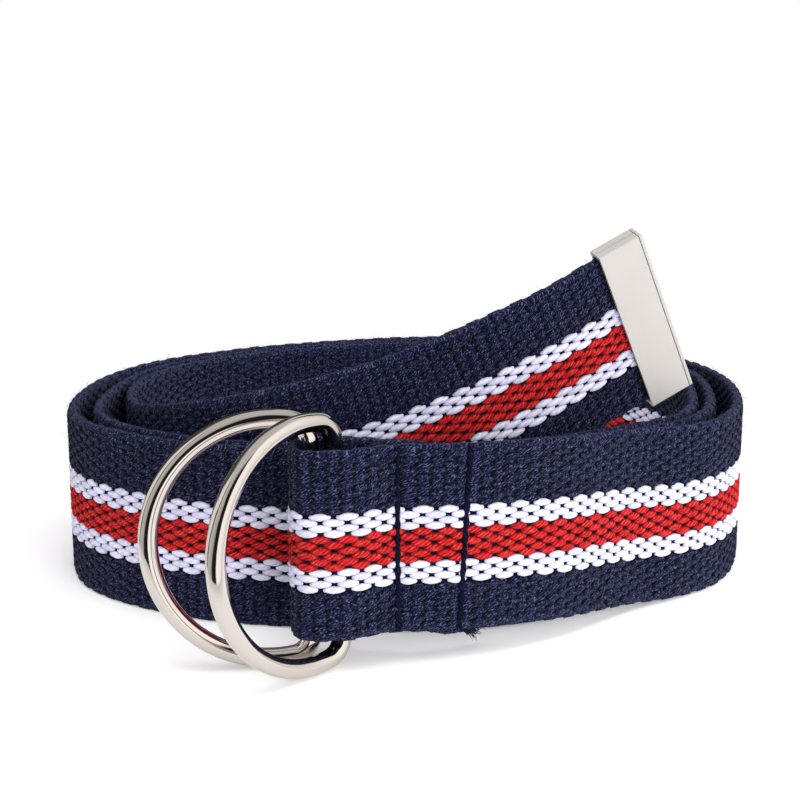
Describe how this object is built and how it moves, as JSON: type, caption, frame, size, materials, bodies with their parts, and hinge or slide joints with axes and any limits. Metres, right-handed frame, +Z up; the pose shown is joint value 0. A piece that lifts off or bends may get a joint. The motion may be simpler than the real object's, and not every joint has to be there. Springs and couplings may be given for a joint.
{
  "type": "double ring belt",
  "caption": "Navy, white and red webbing belt with D rings, rolled up and standing on its edge.",
  "frame": {"origin": "under the middle of the rolled belt, on the surface it stands on", "axes": "+Z up across the strap's width, -Y towards the side with the sewn loop and the rings, +X to the right of it"},
  "size_m": [0.1568, 0.169, 0.0801],
  "materials": {
    "webbing": "woven, striped navy, white and red",
    "ring_metal": "polished nickel plate",
    "tip_metal": "satin nickel plate"
  },
  "bodies": {
    "belt": {"strap": "webbing", "end_tip": "tip_metal"},
    "front_ring": {"ring_front": "ring_metal"},
    "rear_ring": {"ring_rear": "ring_metal"}
  },
  "joints": [
    {"name": "front_ring_swing", "type": "hinge", "parent": "belt", "child": "front_ring", "pos_m": [-0.01438, -0.05965, 0.02503], "axis": [-0.041, 0.072, 0.9966], "range_deg": [0, 90]},
    {"name": "rear_ring_swing", "type": "hinge", "parent": "belt", "child": "rear_ring", "pos_m": [-0.0196, -0.06021, 0.02523], "axis": [-0.012, 0.069, 0.9975], "range_deg": [-35, 0]}
  ]
}
